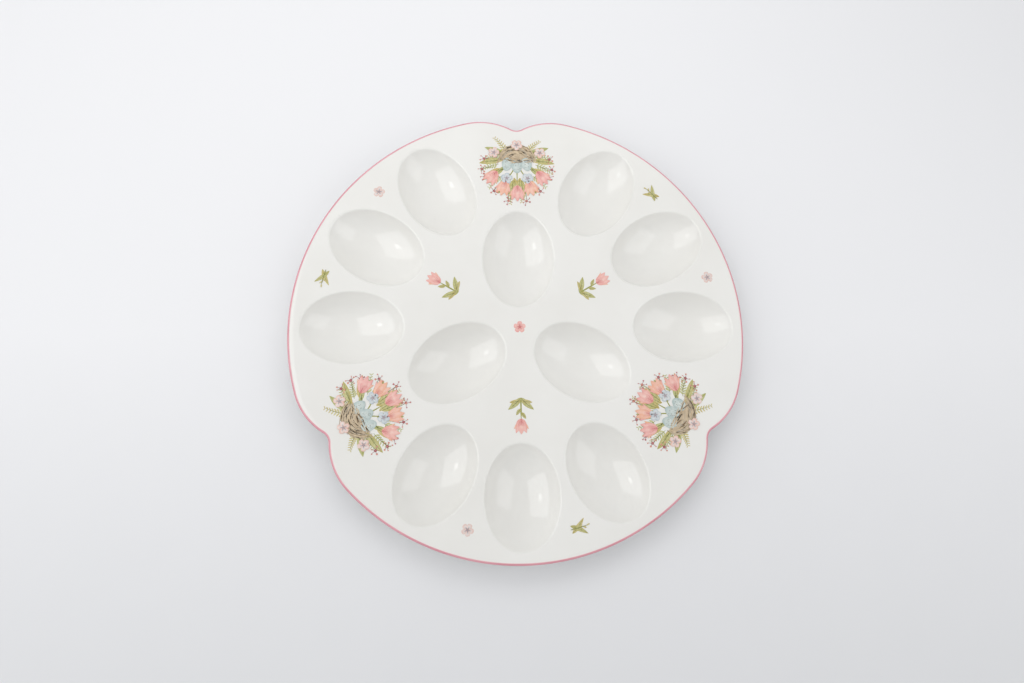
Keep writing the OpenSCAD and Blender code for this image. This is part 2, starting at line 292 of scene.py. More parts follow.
# The pink line: colour that is brushed round the rim's upper edge while the platter turns on a
# wheel, then fired. It is thickest in the middle and thins out to its edges, and its colour turns
# paler towards its upper edge beside the deck.
BAND_TOP = math.radians(88)
BAND_FULL = math.radians(77)
BAND_END = math.radians(1)
BAND_STEPS = 14
BAND_T = 0.00005
BAND_EDGE_T = 0.00003
BAND_SINK = 0.00002
band = []
for k in range(BAND_STEPS + 1):
    share = k / BAND_STEPS
    lean = BAND_TOP + (BAND_END - BAND_TOP) * share
    r = EDGE_R + BAND_EDGE_T + (BAND_T - BAND_EDGE_T) * math.sin(math.pi * share) ** 0.5
    band.append((EDGE_R - r * math.cos(lean), edge_z + r * math.sin(lean)))
for k in range(BAND_STEPS, -1, -2):
    lean = BAND_TOP + (BAND_END - BAND_TOP) * k / BAND_STEPS
    r = EDGE_R - BAND_SINK
    band.append((EDGE_R - r * math.cos(lean), edge_z + r * math.sin(lean)))
bm = bmesh.new()
spin_round_rim(bm, band, closed=True)
bmesh.ops.recalc_face_normals(bm, faces=bm.faces)
for face in bm.faces:
    face.smooth = True
pink = bpy.data.materials.new("brushed_pink_line")
pink.use_nodes = True
tree = pink.node_tree
shader = tree.nodes["Principled BSDF"]
coords = tree.nodes.new("ShaderNodeTexCoord")
strokes = tree.nodes.new("ShaderNodeTexNoise")
strokes.inputs["Scale"].default_value = 60
strokes.inputs["Detail"].default_value = 5
tone = tree.nodes.new("ShaderNodeValToRGB")
tone.color_ramp.elements[0].position = 0.3
tone.color_ramp.elements[0].color = (0.66, 0.26, 0.31, 1)
tone.color_ramp.elements[1].position = 0.7
tone.color_ramp.elements[1].color = (0.74, 0.36, 0.41, 1)
# The colour turns paler by height, towards the band's upper edge beside the deck
place = tree.nodes.new("ShaderNodeSeparateXYZ")
fade = tree.nodes.new("ShaderNodeMapRange")
fade.inputs["From Min"].default_value = edge_z + (EDGE_R + BAND_EDGE_T) * math.sin(BAND_FULL)
fade.inputs["From Max"].default_value = edge_z + (EDGE_R + BAND_EDGE_T) * math.sin(BAND_TOP)
thin = tree.nodes.new("ShaderNodeMixRGB")
thin.inputs["Color2"].default_value = (0.85, 0.66, 0.66, 1)
tree.links.new(coords.outputs["Object"], strokes.inputs["Vector"])
tree.links.new(coords.outputs["Object"], place.inputs["Vector"])
tree.links.new(strokes.outputs["Fac"], tone.inputs["Fac"])
tree.links.new(place.outputs["Z"], fade.inputs["Value"])
tree.links.new(fade.outputs["Result"], thin.inputs["Fac"])
tree.links.new(tone.outputs["Color"], thin.inputs["Color1"])
tree.links.new(thin.outputs["Color"], shader.inputs["Base Color"])
gloss = tree.nodes.new("ShaderNodeMapRange")
gloss.inputs["To Min"].default_value = 0.12
gloss.inputs["To Max"].default_value = 0.22
tree.links.new(strokes.outputs["Fac"], gloss.inputs["Value"])
tree.links.new(gloss.outputs["Result"], shader.inputs["Roughness"])
shown("brushed_rim_line", bm, "rim_band", "pink_band", pink)

# The enamel prints: thin colour laid on the glaze from a sheet and fired on. Each mark is a wash,
# pale in its middle and deeper where the colour gathered at its edge, or a fine dark line.
INK = 0.0001
OVER_WASH = 0.85
MARK_R = 0.5
NARROWEST = 1e-9
wash_group = bpy.data.node_groups.new("enamel_wash", "ShaderNodeTree")
for name in ("Pale", "Deep", "Other", "Line"):
    wash_group.interface.new_socket(name=name, in_out="INPUT", socket_type="NodeSocketColor")
wash_group.interface.new_socket(name="Colour", in_out="OUTPUT", socket_type="NodeSocketColor")
n = wash_group.nodes
inside = n.new("NodeGroupInput")
outside = n.new("NodeGroupOutput")
wash_depth = n.new("ShaderNodeAttribute")
wash_depth.attribute_name = "wash"
tint = n.new("ShaderNodeAttribute")
tint.attribute_name = "tint"
coords = n.new("ShaderNodeTexCoord")
pigment = n.new("ShaderNodeTexNoise")
pigment.inputs["Scale"].default_value = 420
pigment.inputs["Detail"].default_value = 5
blot = n.new("ShaderNodeMath")
blot.operation = "MULTIPLY_ADD"
blot.inputs[1].default_value = 1.1
blot.inputs[2].default_value = -0.42
pooled = n.new("ShaderNodeMath")
pooled.operation = "MULTIPLY_ADD"
pooled.inputs[1].default_value = 0.7
amount = n.new("ShaderNodeClamp")
drawn = n.new("ShaderNodeMath")
drawn.operation = "SUBTRACT"
drawn.inputs[1].default_value = 1
drawn.use_clamp = True
hue = n.new("ShaderNodeMix")
hue.data_type = "RGBA"
washed = n.new("ShaderNodeMix")
washed.data_type = "RGBA"
lined = n.new("ShaderNodeMix")
lined.data_type = "RGBA"
w = wash_group.links
w.new(coords.outputs["Object"], pigment.inputs["Vector"])
w.new(pigment.outputs["Fac"], blot.inputs[0])
w.new(wash_depth.outputs["Fac"], pooled.inputs[0])
w.new(blot.outputs[0], pooled.inputs[2])
w.new(pooled.outputs[0], amount.inputs["Value"])
w.new(wash_depth.outputs["Fac"], drawn.inputs[0])
w.new(tint.outputs["Fac"], hue.inputs["Factor"])
w.new(inside.outputs["Deep"], hue.inputs["A"])
w.new(inside.outputs["Other"], hue.inputs["B"])
w.new(amount.outputs["Result"], washed.inputs["Factor"])
w.new(inside.outputs["Pale"], washed.inputs["A"])
w.new(hue.outputs["Result"], washed.inputs["B"])
w.new(drawn.outputs[0], lined.inputs["Factor"])
w.new(washed.outputs["Result"], lined.inputs["A"])
w.new(inside.outputs["Line"], lined.inputs["B"])
w.new(lined.outputs["Result"], outside.inputs["Colour"])


def enamel(name, pale, deep, other, line):
    """A fired enamel: glossy, with its colour washed from pale to one of two deep hues."""
    finish = bpy.data.materials.new(name)
    finish.use_nodes = True
    tree = finish.node_tree
    shader = tree.nodes["Principled BSDF"]
    shader.inputs["Roughness"].default_value = 0.16
    wash = tree.nodes.new("ShaderNodeGroup")
    wash.node_tree = wash_group
    for socket, colour in (("Pale", pale), ("Deep", deep), ("Other", other), ("Line", line)):
        wash.inputs[socket].default_value = (*colour, 1)
    tree.links.new(wash.outputs["Colour"], shader.inputs["Base Color"])
    return finish


green_enamel = enamel(
    "leaf_green_enamel",
    pale=(0.64, 0.63, 0.36),
    deep=(0.36, 0.37, 0.10),
    other=(0.52, 0.37, 0.09),
    line=(0.13, 0.14, 0.05),
)
brown_enamel = enamel(
    "nest_brown_enamel",
    pale=(0.68, 0.55, 0.38),
    deep=(0.38, 0.25, 0.13),
    other=(0.26, 0.28, 0.28),
    line=(0.12, 0.08, 0.05),
)
egg_enamel = enamel(
    "egg_blue_enamel",
    pale=(0.70, 0.74, 0.70),
    deep=(0.38, 0.48, 0.47),
    other=(0.55, 0.50, 0.40),
    line=(0.20, 0.13, 0.09),
)
pink_enamel = enamel(
    "tulip_pink_enamel",
    pale=(0.88, 0.62, 0.55),
    deep=(0.76, 0.30, 0.29),
    other=(0.80, 0.38, 0.20),
    line=(0.42, 0.08, 0.10),
)
blue_enamel = enamel(
    "blossom_blue_enamel",
    pale=(0.78, 0.78, 0.76),
    deep=(0.42, 0.50, 0.56),
    other=(0.80, 0.42, 0.32),
    line=(0.38, 0.13, 0.10),
)
red_enamel = enamel(
    "berry_red_enamel",
    pale=(0.66, 0.30, 0.28),
    deep=(0.36, 0.07, 0.09),
    other=(0.68, 0.30, 0.20),
    line=(0.16, 0.03, 0.04),
)

# A flat mark's top is a little smaller than its foot, and its wash is deepest at the edge
MARK_TOP_SHARE = 0.84
EDGE_WASH = 1
TOP_WASH = 0.75
HEART_WASH = 0.1
blanks = {}


def blank_mark(points):
    """A flat round mark with a sloped edge, which is drawn out into each stroke."""
    if points not in blanks:
        bm = bmesh.new()
        wash_layer = bm.verts.layers.float.new("wash")
        bm.verts.layers.float.new("tint")
        disc = bmesh.ops.create_circle(bm, cap_ends=True, segments=points, radius=MARK_R)["verts"]
        top = bmesh.ops.extrude_face_region(bm, geom=[disc[0].link_faces[0]])["geom"]
        top_verts = [g for g in top if isinstance(g, bmesh.types.BMVert)]
        top_face = [g for g in top if isinstance(g, bmesh.types.BMFace)]
        bmesh.ops.scale(bm, verts=top_verts, vec=(MARK_TOP_SHARE, MARK_TOP_SHARE, 1))
        bmesh.ops.translate(bm, verts=top_verts, vec=(0, 0, INK))
        heart = bmesh.ops.poke(bm, faces=top_face)["verts"]
        for verts, wash in ((disc, EDGE_WASH), (top_verts, TOP_WASH), (heart, HEART_WASH)):
            for vert in verts:
                vert[wash_layer] = wash
        blanks[points] = bpy.data.meshes.new("blank_mark")
        bm.to_mesh(blanks[points])
        bm.free()
    return blanks[points]


# How a stroke widens from its foot and narrows to its tip, as powers of the way along it
BLADE = (0.7, 0.9)
NEEDLE = (0.3, 0.6)
ROUND = (0.5, 0.5)


def stroke(
    bm, place, length, width, shape=BLADE, bend=0.0, layer=0, depth=1.0, tint=0.0, points=18
):
    """One mark from the origin along +Y. A depth of more than 1 makes it a line."""
    foot, tip = shape
    mark = blank_mark(points).copy()
    wash_values = mark.attributes["wash"].data
    tint_values = mark.attributes["tint"].data
    widest = (foot / (foot + tip)) ** foot * (tip / (foot + tip)) ** tip
    for k, vert in enumerate(mark.vertices):
        x, y, z = vert.co
        along = y + MARK_R
        across = x / math.sqrt(max(MARK_R**2 - y * y, NARROWEST))
        half = width / 2 * (max(along, 0) ** foot) * (max(1 - along, 0) ** tip) / widest
        across = max(-1, min(1, across))
        sideways = across * half + bend * length * along**2
        vert.co = (sideways, along * length, z + DECK_Z + layer * INK)
        wash_values[k].value = depth if depth > 1 else depth * wash_values[k].value
        tint_values[k].value = tint
    mark.transform(place)
    bm.from_mesh(mark)
    bpy.data.meshes.remove(mark)


def line(bm, place, length, width, bend=0.0, layer=0, tint=0.0, depth=1.6):
    """A fine dark stroke of nearly even width."""
    stroke(bm, place, length, width, NEEDLE, bend, layer, depth, tint, points=12)


def dot(bm, place, size, layer=0, depth=1.0, tint=0.0, points=10):
    """A round mark about the origin."""
    stroke(bm, place @ at(0, -size / 2), size, size, ROUND, 0, layer, depth, tint, points)


def at(x, y, degrees=0.0):
    """The place at x and y on the glaze, turned by an angle."""
    return Matrix.Translation((x, y, 0)) @ turned(degrees)


def printed(name, bm, node, slot, finish):
    """Turns the marks of one enamel into the print that stands for one node."""
    bmesh.ops.recalc_face_normals(bm, faces=bm.faces)
    for face in bm.faces:
        face.smooth = True
    for edge in bm.edges:
        edge.smooth = edge.calc_face_angle() < CREASE
    shown(name, bm, node, slot, finish)


# A posy stands at each notch, with its top to the middle of the platter. Its leaves are laid
# first: pointed blades with a darker rib, fine fronds, and stems that run up to the tulips.
POSY = 0.051984
POSY_RING_R = 0.11096
POSIES = dict(zip(("top", "left", "right"), NOTCH_TURNS))
# Each place is x and y as shares of the posy's size, then a lean in degrees
LEAF_PLACES = [
    (-0.16, -0.24, 118), (0.16, -0.24, -118), (-0.22, -0.16, 88), (0.22, -0.16, -88),
    (-0.22, -0.04, 62), (0.22, -0.04, -62), (-0.12, 0.06, 34), (0.12, 0.06, -34),
    (-0.05, 0.12, 12), (0.05, 0.12, -12),
]
FROND_PLACES = [
    (-0.2, -0.2, 100), (0.2, -0.2, -100), (-0.14, -0.28, 150), (0.14, -0.28, -150),
    (-0.2, 0.06, 56), (0.2, 0.06, -56), (-0.06, 0.2, 14), (0.06, 0.2, -14),
    (-0.24, -0.1, 78), (0.24, -0.1, -78),
]
TULIP_PLACES = [
    (-0.27, 0.0, 38), (0.27, 0.0, -38), (-0.15, 0.13, 18), (0.15, 0.13, -18), (0, 0.2, 0),
]
EGG_PLACES = [(-0.13, -0.1, 14), (0.13, -0.1, -14), (0, -0.07, 0)]
BLOSSOM_PLACES = [
    (-0.31, -0.27, 0), (0.31, -0.27, 20), (-0.14, 0.1, 8), (0.14, 0.1, 30), (0, -0.38, 0),
]
BERRY_PLACES = [
    (-0.47, -0.03), (0.47, -0.03), (-0.43, 0.08), (0.43, 0.08), (-0.31, 0.28),
    (0.31, 0.28), (-0.12, 0.42), (0.12, 0.42), (-0.44, -0.18), (0.44, -0.18),
]
LEAF_LEN = 0.29 * POSY
LEAF_W = 0.088 * POSY
LEAF_BEND = -0.12
RIB_LEN_SHARE = 0.97
RIB_W_SHARE = 0.09
VEIN_PLACES = (0.22, 0.4, 0.58)
VEIN_LEAN = 36
VEIN_LEN_SHARE = 0.45
VEIN_W_SHARE = 0.04
FINE_DEPTH = 1.35
SMALL_LEAF_IN_SHARE = 0.8
SMALL_LEAF_DOWN = 0.03
SMALL_LEAF_LEAN = 24
SMALL_LEAF_LEN = 0.72 * LEAF_LEN
SMALL_LEAF_W = 0.7 * LEAF_W
SMALL_LEAF_BEND = 0.15
LEAFLET = (0.8, 0.8)
FROND_LEN = 0.25 * POSY
FROND_BEND = -0.2
FROND_STEM_W = 0.008 * POSY
STALK_DEPTH = 1.4
LEAFLET_LEN = 0.062 * POSY
LEAFLET_W_SHARE = 0.36
LEAFLET_LEAN = 52
LEAFLET_PAIRS = 7
STEMS_MEET = 0.12
STEM_W = 0.016 * POSY
STEM_LEAN = 8
STEM_BEND = 0.14
STEM_DEPTH = 1.2
SPRAY_LEN = 0.17 * POSY
SPRAY_W = 0.007 * POSY
SPRAY_LEAN = 16
SPRAYS_MEET = 0.05
chance = random.Random(12)


def leaf(bm, place, length, width, bend=0.0, layer=0, tint=0.0):
    """A blade, the rib down its middle, and veins that leave the rib on each side."""
    stroke(bm, place, length, width, bend=bend, layer=layer, tint=tint, points=22)
    over = layer + OVER_WASH
    line(bm, place, RIB_LEN_SHARE * length, RIB_W_SHARE * width, bend, over)
    for side in (-1, 1):
        for share in VEIN_PLACES:
            vein = place @ at(bend * length * share**2, share * length, -side * VEIN_LEAN)
            vein_len = VEIN_LEN_SHARE * width
            line(bm, vein, vein_len, VEIN_W_SHARE * width, layer=over, depth=FINE_DEPTH)


def frond(bm, place, length, bend, tint, layer=0):
    """A thin curved stem with small paired leaflets that shorten towards its tip."""
    line(bm, place, length, FROND_STEM_W, bend, layer, depth=STALK_DEPTH)
    for k in range(1, LEAFLET_PAIRS + 1):
        share = k / (LEAFLET_PAIRS + 0.5)
        for side in (-1, 1):
            start = place @ at(bend * length * share**2, share * length, -side * LEAFLET_LEAN)
            size = LEAFLET_LEN * (1.1 - 0.6 * share)
            width = LEAFLET_W_SHARE * size
            stroke(bm, start, size, width, LEAFLET, 0, layer, 0.85, tint, points=10)


for name, degrees in POSIES.items():
    posy = turned(degrees) @ Matrix.Translation((POSY_RING_R, 0, 0)) @ turned(90)
    bm = bmesh.new()
    for k, (x, y, lean) in enumerate(FROND_PLACES):
        side = 1 if x > 0 else -1
        place = posy @ at(x * POSY, y * POSY, lean + chance.uniform(-6, 6))
        length = FROND_LEN * chance.uniform(0.85, 1.1)
        frond(bm, place, length, FROND_BEND * side, k // 2 % 2)
    for k, (x, y, lean) in enumerate(LEAF_PLACES):
        side = 1 if x > 0 else -1
        place = posy @ at(x * POSY, y * POSY, lean)
        leaf(bm, place, LEAF_LEN, LEAF_W, LEAF_BEND * side, 0.1, (k // 2 % 3) / 2)
        nearer = SMALL_LEAF_IN_SHARE * x * POSY
        lower = (y - SMALL_LEAF_DOWN) * POSY
        small = posy @ at(nearer, lower, lean + SMALL_LEAF_LEAN * side)
        tint = (k // 2 + 1) % 3 / 2
        leaf(bm, small, SMALL_LEAF_LEN, SMALL_LEAF_W, SMALL_LEAF_BEND * side, 0, tint)
    for x, y, lean in TULIP_PLACES:
        side = (x > 0) - (x < 0)
        length = math.hypot(x, y + STEMS_MEET) * POSY
        away = math.degrees(math.atan2(-x, y + STEMS_MEET))
        stem = posy @ at(0, -STEMS_MEET * POSY, away + STEM_LEAN * side)
        line(bm, stem, length, STEM_W, STEM_BEND * side, depth=STEM_DEPTH)
    for x, y in BERRY_PLACES:
        side = 1 if x > 0 else -1
        away = math.degrees(math.atan2(-x, y + SPRAYS_MEET))
        spray = posy @ at(x * POSY, y * POSY, away + 180 + SPRAY_LEAN * side)
        line(bm, spray, SPRAY_LEN, SPRAY_W, STEM_BEND * side)
    printed(f"posy_{name}_leaves_print", bm, f"posy_{name}_leaves", "green_enamel", green_enamel)

# The nest: bent twigs in light and dark straw, woven in a bowl. Three speckled eggs lie in it.
NEST_W = 0.52 * POSY
EGG_LEN = 0.192 * POSY
EGG_WIDTH_SHARE = 0.76
NEST_LOW = 0.12 * POSY
NEST_BOWL = (0.5, 0.32)
TWIG = (0.35, 0.5)
TWIG_W = 0.015 * POSY
TWIGS = 96
TWIG_LAYER_STEP = 0.3
DARK_TWIG_DEPTH = 1.5
BRIM_TWIG_W = 0.014 * POSY
BRIM_TWIGS = 22
BRIM_LAYER = 3.4
EGG = (0.46, 0.6)
EGG_LAYER = 2
EGG_LAYER_STEP = 0.4
SPECKS = 22
SPECKS_REACH = 0.3


def twig(bm, place, r, start, sweep, layer, depth, tint):
    """A bent twig that follows part of a round; its sweep is an angle in radians."""
    length = r * sweep
    begin = place @ at(r * math.cos(start), r * math.sin(start), math.degrees(start))
    bend = -length / (2 * r)
    stroke(bm, begin, length, TWIG_W, TWIG, bend, layer, depth, tint, points=12)


for name, degrees in POSIES.items():
    posy = turned(degrees) @ Matrix.Translation((POSY_RING_R, 0, 0)) @ turned(90)
    nest = posy @ at(0, -NEST_LOW)
    bm = bmesh.new()
    half = NEST_W / 2
    bowl = nest @ at(0, -half)
    stroke(bm, bowl, 0.98 * half, 0.94 * NEST_W, NEST_BOWL, 0, 0.6, 0.8, 0.3, points=28)
    for k in range(TWIGS):
        r = half * (0.34 + 0.64 * math.sqrt(chance.random()))
        start = math.radians(chance.uniform(181, 310))
        sweep = math.radians(chance.uniform(28, 66))
        sweep = min(sweep, math.radians(359) - start)
        aside = 0.02 * NEST_W * chance.uniform(-1, 1)
        sway = nest @ at(aside, 0.03 * NEST_W * chance.uniform(-1, 1))
        depth = DARK_TWIG_DEPTH if k % 9 == 0 else chance.uniform(0.1, 1)
        layer = 1 + k % 3 * TWIG_LAYER_STEP
        twig(bm, sway, r, start, sweep, layer, depth, tint=chance.random() ** 2)
    for k in range(BRIM_TWIGS):
        x = half * chance.uniform(-0.95, 0.55)
        y = -0.011 * POSY * chance.uniform(0.5, 6)
        depth = DARK_TWIG_DEPTH if k % 7 == 0 else chance.uniform(0.1, 1)
        lying = nest @ at(x, y, -90 + chance.uniform(-22, 10))
        bend = chance.uniform(-0.15, 0.15)
        tint = chance.random() ** 2
        length = 0.38 * half
        stroke(bm, lying, length, BRIM_TWIG_W, TWIG, bend, BRIM_LAYER, depth, tint, points=10)
    printed(f"posy_{name}_nest_print", bm, f"posy_{name}_nest", "brown_enamel", brown_enamel)

    bm = bmesh.new()
    for x, y, lean in EGG_PLACES:
        place = posy @ at(x * POSY, y * POSY, lean) @ at(0, -EGG_LEN / 2)
        lift = EGG_LAYER + (EGG_LAYER_STEP if x else 0)
        egg_w = EGG_WIDTH_SHARE * EGG_LEN
        stroke(bm, place, EGG_LEN, egg_w, EGG, layer=lift, depth=0.95, points=26)
        for k in range(SPECKS):
            reach = EGG_LEN * SPECKS_REACH * math.sqrt(chance.random())
            speck = place @ at(0, EGG_LEN / 2) @ turned(chance.uniform(0, 360)) @ at(reach, 0)
            size = EGG_LEN * chance.uniform(0.02, 0.06)
            dot(bm, speck, size, lift + OVER_WASH, depth=chance.uniform(1.2, 1.9), points=7)
    printed(f"posy_{name}_eggs_print", bm, f"posy_{name}_eggs", "egg_enamel", egg_enamel)

# The tulips: cups of overlapping petals, each with fine lines down it
TULIP_LEN = 0.23 * POSY
PETAL_W = 0.1 * POSY
PETAL_LINE_LEN_SHARE = 0.5
PETAL_LINE_W_SHARE = 0.035
PETAL = (0.5, 0.9)
FRONT_PETAL = (0.5, 0.85)
BEHIND_LEAN = 26
BEHIND_LEN_SHARE = 0.8
BEHIND_W_SHARE = 0.55
BEHIND_BEND = -0.18
BEHIND_BY = 0.4
BESIDE_LEAN = 15
BESIDE_LEN_SHARE = 0.92
BESIDE_W_SHARE = 0.86
BESIDE_BEND = -0.06
BESIDE_BY = 0.1
FRONT_BY = 0.2
TULIP_LAYER = 3
TULIP_TINTS = (0, 0.2, 0.9, 0.8, 0.1)


def tulip(bm, place, length, width, layer, tint=0.0):
    """Two petals behind, one at each side, one in front, and a dark dot where they meet."""
    fine = (PETAL_LINE_LEN_SHARE * length, PETAL_LINE_W_SHARE * width)
    for side in (-1, 1):
        behind = place @ turned(side * BEHIND_LEAN)
        size = (BEHIND_LEN_SHARE * length, BEHIND_W_SHARE * width)
        low = layer - BEHIND_BY
        stroke(bm, behind, *size, PETAL, side * BEHIND_BEND, low, tint=1 - tint, points=14)
    for side in (-1, 1):
        beside = place @ turned(side * BESIDE_LEAN) @ at(-side * width / 14, length / 20)
        size = (BESIDE_LEN_SHARE * length, BESIDE_W_SHARE * width)
        low = layer - BESIDE_BY
        stroke(bm, beside, *size, PETAL, side * BESIDE_BEND, low, tint=tint, points=18)
        for lean in (-5, 5):
            line(bm, beside @ turned(lean), *fine, layer=low + OVER_WASH, depth=FINE_DEPTH)
    stroke(bm, place, length, width, FRONT_PETAL, 0, layer + FRONT_BY, 0.9, tint, points=20)
    for lean in (-8, -3, 3, 8):
        line(bm, place @ turned(lean), *fine, layer=layer + 0.95, depth=FINE_DEPTH)
    dot(bm, place @ at(0, 0.06 * length), 0.24 * width, layer + 1, depth=1.3, points=8)


for name, degrees in POSIES.items():
    posy = turned(degrees) @ Matrix.Translation((POSY_RING_R, 0, 0)) @ turned(90)
    bm = bmesh.new()
    for k, (x, y, lean) in enumerate(TULIP_PLACES):
        place = posy @ at(x * POSY, y * POSY, lean)
        tulip(bm, place, TULIP_LEN, PETAL_W, TULIP_LAYER, TULIP_TINTS[k])
    printed(f"posy_{name}_tulips_print", bm, f"posy_{name}_tulips", "pink_enamel", pink_enamel)

# The blossoms: five round petals about a dark eye, and the berries in small sprays
BLOSSOM_D = 0.154 * POSY
BLOSSOM_LAYER = 4
BLOSSOM_TINTS = (1, 0.9, 0, 0, 1)
ROUND_PETAL = (0.8, 0.42)
PETALS = 5
PETAL_W_SHARE = 0.4
PETAL_BEND = 0.04
PETAL_LAP = 0.15
PETAL_FINE_LEN_SHARE = 0.3
PETAL_FINE_W_SHARE = 0.022
STAMENS = 9
STAMEN_RING_SHARE = 0.1
STAMEN_D_SHARE = 0.05
EYE_D_SHARE = 0.13
BERRY_D = 0.036 * POSY
BERRY_STALK_W_SHARE = 0.12
GLINT_AT_SHARE = 0.2
GLINT_D_SHARE = 0.25
# Each bud round a berry: its angle, and its reach and size as shares of the berry's
BUDS = ((0, 1.3, 0.7), (80, 1.6, 0.45), (150, 1.5, 0.6), (215, 1.4, 0.4), (290, 1.7, 0.5))


def blossom(bm, place, size, layer, tint=0.0):
    """A ring of petals, each with three fine lines, and a ring of dots about a dark eye."""
    fine = (PETAL_FINE_LEN_SHARE * size, PETAL_FINE_W_SHARE * size)
    for k in range(PETALS):
        petal = place @ turned(360 / PETALS * k + 4 * (k % 2))
        lift = layer + PETAL_LAP * (k % 2)
        wide = PETAL_W_SHARE * size
        stroke(bm, petal, size / 2, wide, ROUND_PETAL, PETAL_BEND, lift, 0.9, tint, points=16)
        for lean in (-10, 0, 10):
            line(bm, petal @ turned(lean), *fine, layer=layer + 0.9, depth=1.3)
    for k in range(STAMENS):
        stamen = place @ turned(360 / STAMENS * k) @ at(0, STAMEN_RING_SHARE * size)
        dot(bm, stamen, STAMEN_D_SHARE * size, layer + 1.1, depth=1.7, points=7)
    dot(bm, place, EYE_D_SHARE * size, layer + 1.1, depth=1.45, points=12)


for name, degrees in POSIES.items():
    posy = turned(degrees) @ Matrix.Translation((POSY_RING_R, 0, 0)) @ turned(90)
    bm = bmesh.new()
    for k, (x, y, lean) in enumerate(BLOSSOM_PLACES):
        place = posy @ at(x * POSY, y * POSY, lean)
        blossom(bm, place, BLOSSOM_D, BLOSSOM_LAYER, BLOSSOM_TINTS[k])
    printed(f"posy_{name}_blossoms_print", bm, f"posy_{name}_blossoms", "blue_enamel", blue_enamel)

    bm = bmesh.new()
    for k, (x, y) in enumerate(BERRY_PLACES):
        place = posy @ at(x * POSY, y * POSY, chance.uniform(0, 360))
        hot = k // 2 % 2
        dot(bm, place, BERRY_D, layer=1, tint=hot, points=14)
        glint = place @ at(GLINT_AT_SHARE * BERRY_D, GLINT_AT_SHARE * BERRY_D)
        dot(bm, glint, GLINT_D_SHARE * BERRY_D, layer=1 + OVER_WASH, depth=1.9, points=7)
        for turn, reach, size in BUDS:
            bud = place @ turned(turn + chance.uniform(-20, 20))
            stalk_w = BERRY_STALK_W_SHARE * BERRY_D
            line(bm, bud, reach * BERRY_D, stalk_w, bend=0.1, layer=1, depth=STALK_DEPTH)
            tip = bud @ at(0, reach * BERRY_D)
            dot(bm, tip, size * BERRY_D, layer=1.1, tint=1 - hot, points=9)
    printed(f"posy_{name}_berries_print", bm, f"posy_{name}_berries", "red_enamel", red_enamel)

# The small prints: tulip sprigs between the middle wells, leaves and blossoms beside the rim, and
# one blossom in the very centre. They are laid one by one, like the posies.
SPRIG_LEN = 0.29 * POSY
SPRIG_RING_R = 0.04712
RIM_PRINT_RING_R = 0.134064
RIM_PRINT_TURN = 15
SPRIG_STEM_W = 0.02 * POSY
SPRIG_TULIP_UP = 0.9 * SPRIG_LEN
SPRIG_TULIP_LEN = 0.85 * TULIP_LEN
SPRIG_PETAL_W = 0.9 * PETAL_W
# Each pair of a sprig's leaves: its height on the stem and the step between the two, its lean, its
# length and width as shares of a posy leaf's, its bend, layer and tint
SPRIG_LEAVES = (
    (0, 0, 38, 0.75, 0.8, -0.16, 0, 0.2),
    (0.12, 0, 74, 0.5, 0.6, -0.12, 0.1, 0.9),
    (0.56, 0.08, 48, 0.34, 0.5, 0.18, 0.1, 0.5),
)
RIM_LEAF_LEN = 0.8 * LEAF_LEN
RIM_LEAF_W = 0.62 * LEAF_W
RIM_LEAF_LEAN = 28
RIM_LEAF_BEND = -0.16
RIM_STEM_LEN = 0.75 * LEAF_LEN
RIM_STEM_W = 0.012 * POSY
RIM_STEM_LAYER = 2.2
RIM_BUD = (0.8, 0.6)
RIM_BUD_LEN = 0.16 * LEAF_LEN
RIM_BUD_W = 0.2 * LEAF_W
RIM_BUD_PLACES = ((0.4, 30), (0.55, -34), (0.7, 14))
for k, lobe in enumerate((-90, 30, 150), 1):
    sprig = turned(lobe) @ Matrix.Translation((SPRIG_RING_R, 0, 0)) @ turned(-90)
    bm = bmesh.new()
    line(bm, sprig, SPRIG_LEN, SPRIG_STEM_W, depth=STEM_DEPTH)
    for side in (-1, 1):
        for up, step, lean, length, width, bend, layer, tint in SPRIG_LEAVES:
            place = sprig @ at(0, (up + step * side) * SPRIG_LEN, lean * side)
            leaf(bm, place, length * LEAF_LEN, width * LEAF_W, bend * side, layer, tint)
    printed(f"sprig_{k}_stem_print", bm, f"sprig_{k}_stem", "green_enamel", green_enamel)

    bm = bmesh.new()
    tulip(bm, sprig @ at(0, SPRIG_TULIP_UP), SPRIG_TULIP_LEN, SPRIG_PETAL_W, layer=1, tint=0.1)
    printed(f"sprig_{k}_tulip_print", bm, f"sprig_{k}_tulip", "pink_enamel", pink_enamel)

    beside = turned(lobe + RIM_PRINT_TURN) @ Matrix.Translation((RIM_PRINT_RING_R, 0, 0))
    bm = bmesh.new()
    for side, layer, tint in ((-1, 1.2, 0.4), (1, 0, 0.9)):
        place = beside @ turned(RIM_LEAF_LEAN * side) @ at(0, -LEAF_LEN / 3)
        leaf(bm, place, RIM_LEAF_LEN, RIM_LEAF_W, RIM_LEAF_BEND * side, layer, tint)
    stem = beside @ at(0, -LEAF_LEN / 3)
    line(bm, stem, RIM_STEM_LEN, RIM_STEM_W, layer=RIM_STEM_LAYER, depth=STALK_DEPTH)
    for share, lean in RIM_BUD_PLACES:
        bud = beside @ at(0, (share - 1 / 3) * LEAF_LEN, lean)
        size = (RIM_BUD_LEN, RIM_BUD_W)
        stroke(bm, bud, *size, RIM_BUD, 0, RIM_STEM_LAYER, 0.9, 1, points=10)
    printed(f"rim_leaves_{k}_print", bm, f"rim_leaves_{k}", "green_enamel", green_enamel)

    beside = turned(lobe - RIM_PRINT_TURN) @ Matrix.Translation((RIM_PRINT_RING_R, 0, 0))
    bm = bmesh.new()
    blossom(bm, beside, BLOSSOM_D, layer=0, tint=0.8)
    printed(f"rim_blossom_{k}_print", bm, f"rim_blossom_{k}", "blue_enamel", blue_enamel)
bm = bmesh.new()
blossom(bm, turned(0), BLOSSOM_D, layer=0)
printed("centre_blossom_print", bm, "centre_blossom", "pink_enamel", pink_enamel)
